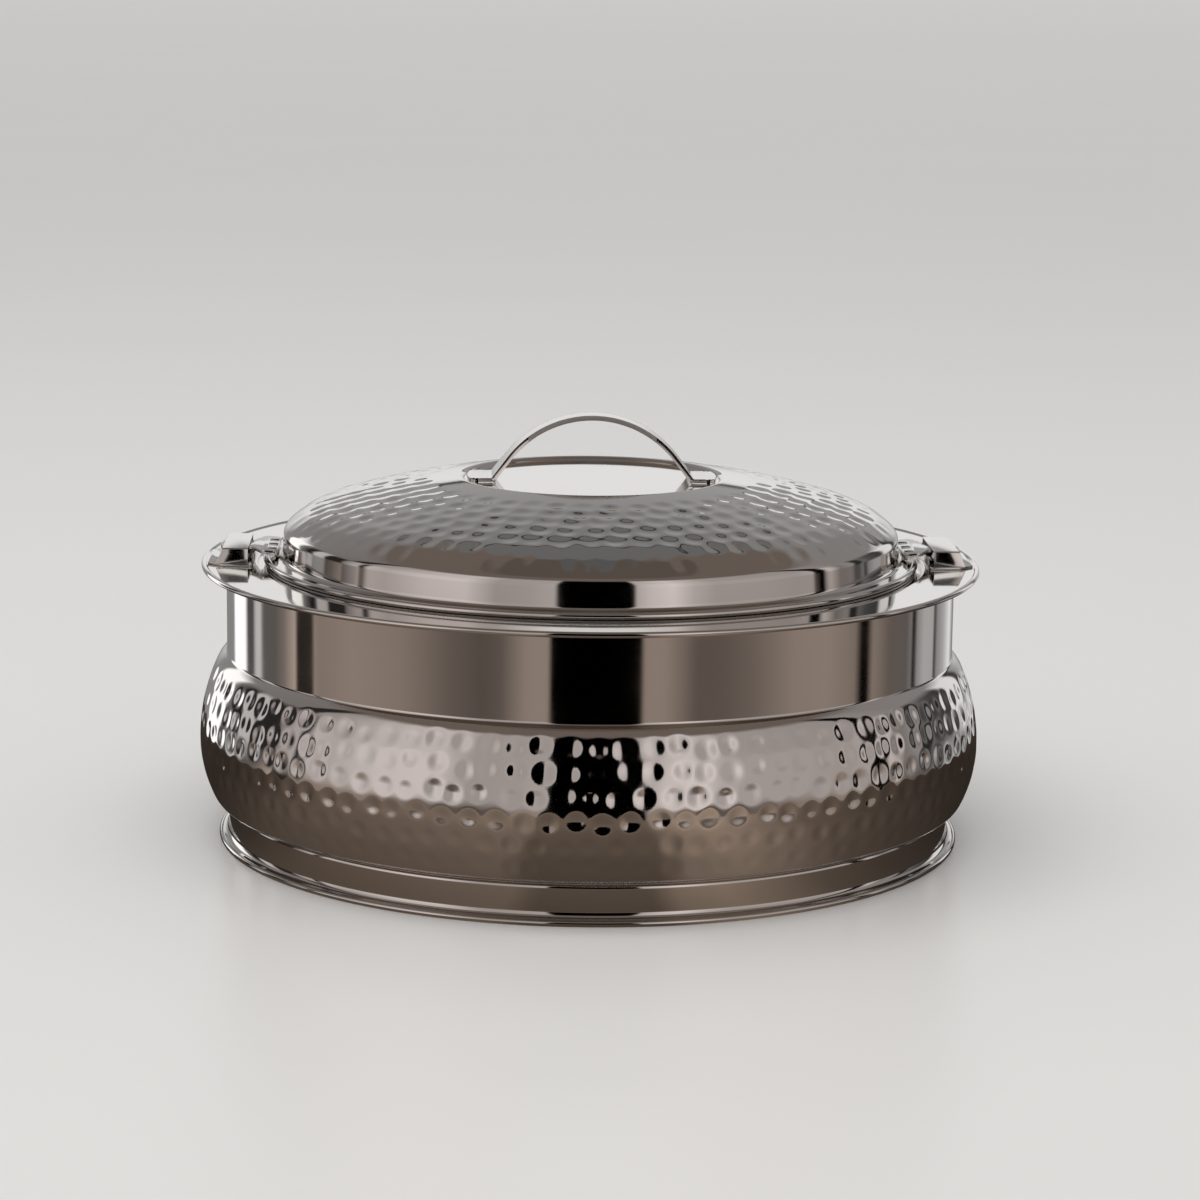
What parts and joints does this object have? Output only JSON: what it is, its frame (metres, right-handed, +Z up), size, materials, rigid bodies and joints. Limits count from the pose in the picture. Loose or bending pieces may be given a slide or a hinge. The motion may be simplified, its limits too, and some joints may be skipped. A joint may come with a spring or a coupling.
{
  "type": "insulated serving casserole",
  "caption": "Double-walled insulated serving pot for flatbreads with a hammered belly, a lift-off domed lid with a strap handle, and sliding thumb latches on its rim.",
  "frame": {"origin": "centre of the foot ring, on the surface that the pot stands on", "axes": "+Z up along the axis of the pot, X through both latches and along the handle, right latch on +X"},
  "size_m": [0.3625, 0.3626, 0.1965],
  "materials": {
    "polished_steel": "mirror-polished stainless steel, hammered on the belly and the lid dome",
    "handle_steel": "polished stainless steel strap",
    "latch_steel": "polished stainless steel pressing",
    "slider_steel": "polished stainless steel pressing with fine wear from use",
    "satin_steel": "satin stainless steel",
    "fastener_steel": "plain stainless steel",
    "spring_steel": "rolled spring steel",
    "rigid_foam": "rigid closed-cell insulating foam"
  },
  "bodies": {
    "pot": {"inner_pan": "polished_steel", "outer_shell": "polished_steel", "body_foam": "rigid_foam", "base_plate": "satin_steel", "foot_ring": "polished_steel", "right_latch_base": "latch_steel", "right_latch_bridge": "latch_steel", "right_latch_pin": "fastener_steel", "right_latch_spring": "spring_steel", "left_latch_base": "latch_steel", "left_latch_bridge": "latch_steel", "left_latch_pin": "fastener_steel", "left_latch_spring": "spring_steel"},
    "lid": {"lid_shell": "polished_steel", "lid_liner": "satin_steel", "lid_foam": "rigid_foam", "handle": "handle_steel", "handle_studs": "fastener_steel", "handle_washers": "fastener_steel", "handle_nuts": "fastener_steel"},
    "right_slider": {"right_latch_slider": "slider_steel"},
    "left_slider": {"left_latch_slider": "slider_steel"}
  },
  "joints": [
    {"name": "lid_lift", "type": "slide", "parent": "pot", "child": "lid", "axis": [0, 0, 1], "range_m": [0, 0.15]},
    {"name": "right_latch_slide", "type": "slide", "parent": "pot", "child": "right_slider", "axis": [1, 0, 0], "range_m": [0, 0.0084]},
    {"name": "left_latch_slide", "type": "slide", "parent": "pot", "child": "left_slider", "axis": [-1, 0, 0], "range_m": [0, 0.0084]}
  ]
}
